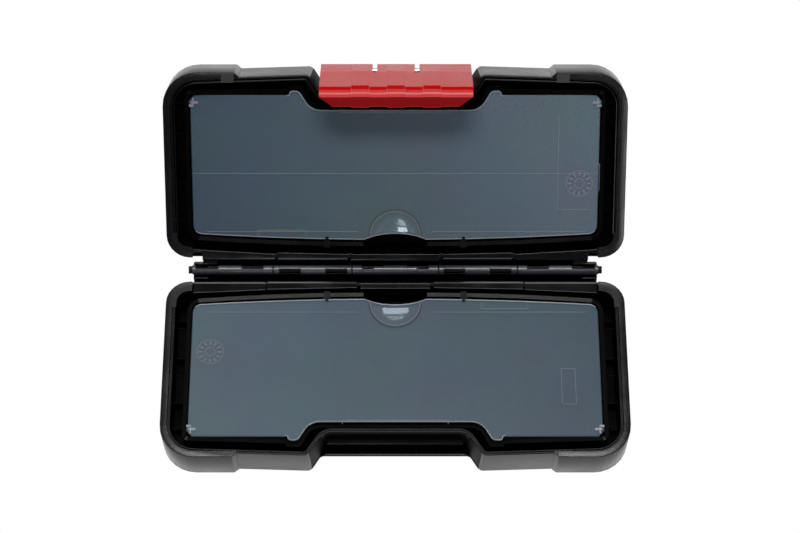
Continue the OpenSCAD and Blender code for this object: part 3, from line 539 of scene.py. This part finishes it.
def cover(name, place, body, node, painted_light_tones, dial, lines, edge_alpha):
    """Cover with its edge in painted highlight, its moulded lines and its finger dish as pieces of
    their own.
    """
    bm = bmesh.new()
    loft(bm, [(inside(COVER_LINE, 0.3), COVER_FOOT), (COVER_LINE, COVER_FOOT + 0.3),
              (COVER_LINE, COVER_TOP - 0.35), (inside(COVER_LINE, 0.4), COVER_TOP)])
    across, reach, height = STUD_MIDDLE
    for side in (-1, 1):
        lying = (Matrix.Translation((side * across, reach, height))
                 @ Matrix.Rotation(math.pi / 2, 4, "Y"))
        bmesh.ops.create_cone(bm, cap_ends=True, segments=20, radius1=STUD, radius2=STUD,
                              depth=STUD_LONG, matrix=lying)
    plate = piece(name, bm, place, clear_plastic(name + " plastic", *painted_light_tones, 0.3, 0.3), body, edge=0)
    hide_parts(node)

    # painted highlight: a pale edge at the rear and the recess, standing in for the light that
    # leaves the sheet there, and the lugs in the same pale plastic
    bm = bmesh.new()
    rim = wall(bm, COVER_LINE, COVER_EDGE)
    keep(bm, rim, [((-RECESS_SIDE, 0, 0), (1, 0, 0)), ((RECESS_SIDE, 0, 0), (1, 0, 0)),
                   ((0, 23, 0), (0, 1, 0))],
         lambda c: c.y > 23 and abs(c.x) > RECESS_SIDE)
    pair(bm, (113, 117), (98.6, 100), (COVER_TOP - 0.3, COVER_TOP + 0.3))
    pair(bm, (115.6, 118.2), (96.8, 98.2), (COVER_TOP - 0.3, COVER_TOP + 0.5))
    pair(bm, (115.4, 116.2), (97.5, 102), (COVER_TOP - 0.3, COVER_TOP + 0.5))
    bright = clear_plastic(name + " edge", EDGE_HIGHLIGHT_TONE, EDGE_HIGHLIGHT_TONE, edge_alpha, 0.15)
    edge = piece(name + "_edge", bm, place, bright, body, edge=0)

    # moulded lines: stiffening folds, outlines of mould inserts and a bare dial, real raised lines
    # whose pale tone is a painted highlight along them; the dish's ring is a raised half ring whose
    # pale tone is a painted highlight on the dish's wall
    bm = bmesh.new()
    for line in lines:
        bead(bm, line)
    for radius in DIAL_RINGS:
        ring_bead(bm, *dial, radius, 0.4)
    ring_bead(bm, *DISH_MIDDLE[:2], DISH_HIGHLIGHT_RING, DISH_HIGHLIGHT_RING_WIDE, 0.25, math.pi)
    for i in range(DIAL_MARKS):
        turn = i * 2 * math.pi / DIAL_MARKS
        bead(bm, [(dial[0] + r * math.cos(turn), dial[1] + r * math.sin(turn))
                  for r in DIAL_MARK_ENDS], 0.9)
    faint = clear_plastic(name + " lines", LINE_HIGHLIGHT_TONE, LINE_HIGHLIGHT_TONE, 0.4, 0.2)
    marks = piece(name + "_lines", bm, place, faint, body, edge=0)

    # finger dish: part of a hollow ball, with a flatter floor that is part of a larger one
    bm = bmesh.new()
    for thick in (0, DISH_THICK):
        bowl = bmesh.ops.create_uvsphere(bm, u_segments=80, v_segments=60, radius=DISH_BALL + thick,
                                         matrix=Matrix.Translation(DISH_MIDDLE))["verts"]
        for vert in bowl:
            aside = (vert.co.x - FLAT_MIDDLE[0]) ** 2 + (vert.co.y - FLAT_MIDDLE[1]) ** 2
            if vert.co.z < 5 and aside < FLAT_BALL ** 2:
                flat = FLAT_MIDDLE[2] - math.sqrt(FLAT_BALL ** 2 - aside) - thick
                vert.co.z = max(vert.co.z, flat)
    for point, away in (((0, DISH_REAR, 0), (0, -1, 0)), ((0, 0, COVER_TOP + 0.1), (0, 0, 1))):
        bmesh.ops.bisect_plane(bm, geom=bm.verts[:] + bm.edges[:] + bm.faces[:], plane_co=point,
                               plane_no=away, clear_outer=True, dist=1e-5)
    bmesh.ops.bridge_loops(bm, edges=[edge for edge in bm.edges if edge.is_boundary])
    glinting = clear_plastic(name + " dish", DISH_TONE, DISH_TONE, 0.75, 0.07)
    glinting.node_tree.nodes["Principled BSDF"].inputs["Metallic"].default_value = 0.7
    dish = piece(name + "_dish", bm, place, glinting, body, edge=0)


cover("lower_inner_cover", ON_BASE, "lower_cover", "lower_cover", LOWER_PAINTED_LIGHT_TONES, LOWER_DIAL,
      LOWER_LINES, 0.85)
cover("lid_inner_cover", ON_LID, "upper_cover", "upper_cover", LID_PAINTED_LIGHT_TONES, LID_DIAL,
      LID_LINES, 0.55)

# Latch: a red moulded lever on the lid's front, turning on a steel pin. Its leaning
# grip face has raised pads, and its rounded fold ends in a lip with a hook inside.
red_plastic = moulded("red latch plastic", (0.72, 0.002, 0.004), 0.28, 0.08, 0.5, 0.04, sheen=0.48)
# lit and shaded copies of the red plastic: the fold painted lighter as painted light, the lip
# painted darker as painted shade, the fold's front band stripped of its reflection as painted
# shade, and the pads' side faces painted pale as a painted highlight
fold_painted_light_red = moulded("red latch fold", (0.8, 0.002, 0.004), 0.3, 0.1, 0.5, 0.04, sheen=0.45)
shaded_red = moulded("red latch lip", (0.34, 0.001, 0.003), 0.4, 0.1, 0.5, 0.04, sheen=0.2)
pad_edge_highlight_red = moulded("red latch pad edges", (0.8, 0.3, 0.3), 0.35, 0.1, 0.5, 0.04)
fold_front_painted_shade_red = moulded("red latch fold's front", (0.72, 0.001, 0.003), 0.4, 0.1, 0.5, 0.04, sheen=0.05)
# pads (from, to, how far they stand out)
PADS = [(-43.5, -25.3, 0), (-25.3, -15.2, 0.55), (-15.2, -5.1, 0), (-5.1, 5.1, 0.55),
        (5.1, 15.2, 0), (15.2, 25.3, 0.55), (25.3, 43.5, 0)]
PAD_EDGE, ASIDE = 0.08, 0.45
LIP_START, LIP_REACH, LIP_TAPER, LATCH_SIDE = 107.6, 5.8, 7.5, 43.5
EAR_SLOT, EAR_SLOT_SECTION = 12.2, [(121, -28), (121, -5.8), (116.3, -5.8), (109.6, -28)]
# turns (reach, height, across) of a section into (across, reach, height)
ALONG = Matrix(((0, 0, 1, 0), (1, 0, 0, 0), (0, 1, 0, 0), (0, 0, 0, 1)))


def latch_section(lift):
    """Corners (reach, height, radius) of the lever, with its grip side moved out by lift."""
    return [(117.5, -24.9, 1.2), (115.9 + lift, -8, 0), (111.6 + lift, 20.2, 6.2 + lift),
            (101.7 - lift, 20.2, 0.6), (101.7 - lift, 17.9, 0.4), (107, 17.9, 1.5), (113, -8, 0),
            (113.4, -17, 1), (110, -17, 1.5), (110, -24.9, 3.4)]


bm = bmesh.new()
loft(bm, [(latch_section(lift), x) for x0, x1, lift in PADS
          for x in (x0 + PAD_EDGE, x1 - PAD_EDGE)], steps=34)
bmesh.ops.transform(bm, matrix=Matrix.Translation((ASIDE, 0, 0)) @ ALONG, verts=bm.verts)
bmesh.ops.recalc_face_normals(bm, faces=bm.faces)
# painted light and shade by facing: each face takes the lit, shaded or highlight copy of the red by
# the way it turns
for face in bm.faces:
    rise = face.normal.z
    if abs(face.normal.x) > 0.5 and abs(face.calc_center_median().x) < 40:
        face.material_index = 3
    else:
        face.material_index = 2 if rise > 0.985 else 1 if rise > 0.68 else 4 if rise > 0.22 else 0
for vert in bm.verts:
    if vert.co.z > 17 and vert.co.y < LIP_START and abs(vert.co.x) > 40:
        vert.co.x *= 1 - LIP_TAPER / LATCH_SIDE * (LIP_START - vert.co.y) / LIP_REACH
latch = piece("latch_lever", bm, ON_LID, red_plastic, "latch", edge=0, smooth=3)
for finish in (fold_painted_light_red, shaded_red, pad_edge_highlight_red, fold_front_painted_shade_red):
    latch.data.materials.append(finish)

# slots over the lid's ears, cut through the whole lever
bm = bmesh.new()
for side in (-1, 1):
    prism(bm, side * EAR_SLOT - 0.9, side * EAR_SLOT + 1.8, EAR_SLOT_SECTION)
bmesh.ops.transform(bm, matrix=ON_LID, verts=bm.verts)
bmesh.ops.recalc_face_normals(bm, faces=bm.faces)
slot_mesh = bpy.data.meshes.new("latch slots")
bm.to_mesh(slot_mesh)
bm.free()
slots = bpy.data.objects.new("latch slots", slot_mesh)
bpy.context.collection.objects.link(slots)
cut = latch.modifiers.new("ear slots", "BOOLEAN")
cut.operation, cut.object, cut.solver = "DIFFERENCE", slots, "EXACT"
whole = bpy.context.evaluated_depsgraph_get()
latch.data = bpy.data.meshes.new_from_object(latch.evaluated_get(whole))
latch.modifiers.clear()
bpy.data.objects.remove(slots)
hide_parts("latch")

# Pins: two black hinge pins pushed in from the ends, and the latch's steel pin, all
# plain turned rods that keep their CAD shape.
black_pin = moulded("black pin", (0.004, 0.004, 0.005), 0.45, 0.1, 0.4, sheen=0.2)
steel = moulded("drawn steel", (0.85, 0.85, 0.86), 0.15, 0.1, 0.3, 0.03)
steel.node_tree.nodes["Principled BSDF"].inputs["Metallic"].default_value = 1
PINS = (("hinge_pin_left", black_pin), ("hinge_pin_right", black_pin), ("latch_pin", steel))
for name, finish in PINS:
    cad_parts[name].data.materials.clear()
    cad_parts[name].data.materials.append(finish)

# Studio: a white table and a white background, soft boxes behind, above and beside the
# case, and a small one in front that lights the lid's dish. Sizes are in metres.
TABLE_REACH = 3
DIM_ROOM, WHITE = (0.06, 0.062, 0.07, 1), (1, 1, 1, 1)
# boxes (name, place, aim, size, watts)
SOFT_BOXES = (
    ("soft box behind", (0, 1.25, 1.39), (0, 0.05, 0.05), (1.3, 0.45), 5.5),
    ("soft box above", (0, 0.22, 1.75), (0, 0, 0), (0.9, 0.4), 11),
    ("soft box over the camera", (0, -0.7, 1.6), (0, 0, 0), (0.7, 0.3), 3),
    ("soft box right", (0.62, -0.85, 0.62), (0.1, 0.1, 0.05), (0.3, 0.3), 1.4),
    ("small box in front", (-0.109, -1.161, 0.41), (0, 0.08, 0.045), (0.12, 0.22), 0.45))

bm = bmesh.new()
bmesh.ops.create_grid(bm, x_segments=1, y_segments=1, size=TABLE_REACH)
mesh = bpy.data.meshes.new("table")
bm.to_mesh(mesh)
bm.free()
table = bpy.data.objects.new("table", mesh)
bpy.context.collection.objects.link(table)
# the table is painted white, and plain white where the camera or a glossy surface sees it
white, nodes, links, paint = new_material("white table")
paint.inputs["Base Color"].default_value = (0.9, 0.9, 0.9, 1)
paint.inputs["Roughness"].default_value = 0.9
glow = nodes.new("ShaderNodeEmission")
glow.inputs["Strength"].default_value = 1
path = nodes.new("ShaderNodeLightPath")
seen = nodes.new("ShaderNodeMath")
seen.operation = "MAXIMUM"
links.new(path.outputs["Is Camera Ray"], seen.inputs[0])
links.new(path.outputs["Is Glossy Ray"], seen.inputs[1])
mix = nodes.new("ShaderNodeMixShader")
links.new(seen.outputs[0], mix.inputs["Fac"])
links.new(paint.outputs[0], mix.inputs[1])
links.new(glow.outputs[0], mix.inputs[2])
links.new(mix.outputs[0], nodes["Material Output"].inputs["Surface"])
mesh.materials.append(white)

sky = bpy.data.worlds.new("studio")
bpy.context.scene.world = sky
sky.use_nodes = True
nodes, links = sky.node_tree.nodes, sky.node_tree.links
back = nodes["Background"]
back.inputs["Strength"].default_value = 1
path = nodes.new("ShaderNodeLightPath")
level = nodes.new("ShaderNodeMix")
level.data_type = "RGBA"
level.inputs["A"].default_value, level.inputs["B"].default_value = DIM_ROOM, WHITE
links.new(path.outputs["Is Camera Ray"], level.inputs["Factor"])
links.new(level.outputs["Result"], back.inputs["Color"])

for name, place, aim, size, watts in SOFT_BOXES:
    lamp = bpy.data.lights.new(name, "AREA")
    lamp.shape, lamp.size, lamp.size_y, lamp.energy = "RECTANGLE", *size, watts
    box = bpy.data.objects.new(name, lamp)
    bpy.context.collection.objects.link(box)
    box.location = place
    box.rotation_euler = (Vector(aim) - Vector(place)).to_track_quat("-Z", "Y").to_euler()

camera = bpy.data.cameras.new("camera")
camera.lens, camera.sensor_width = 98.4, 36
camera.shift_x, camera.shift_y = 0.0059, 0.0041
camera.clip_start = 0.05
eye = bpy.data.objects.new("camera", camera)
bpy.context.collection.objects.link(eye)
eye.location = (0, -0.5047, 1.1707)
eye.rotation_euler = (math.radians(26.33), 0, 0)
bpy.context.scene.camera = eye
bpy.context.scene.view_settings.view_transform = "Standard"
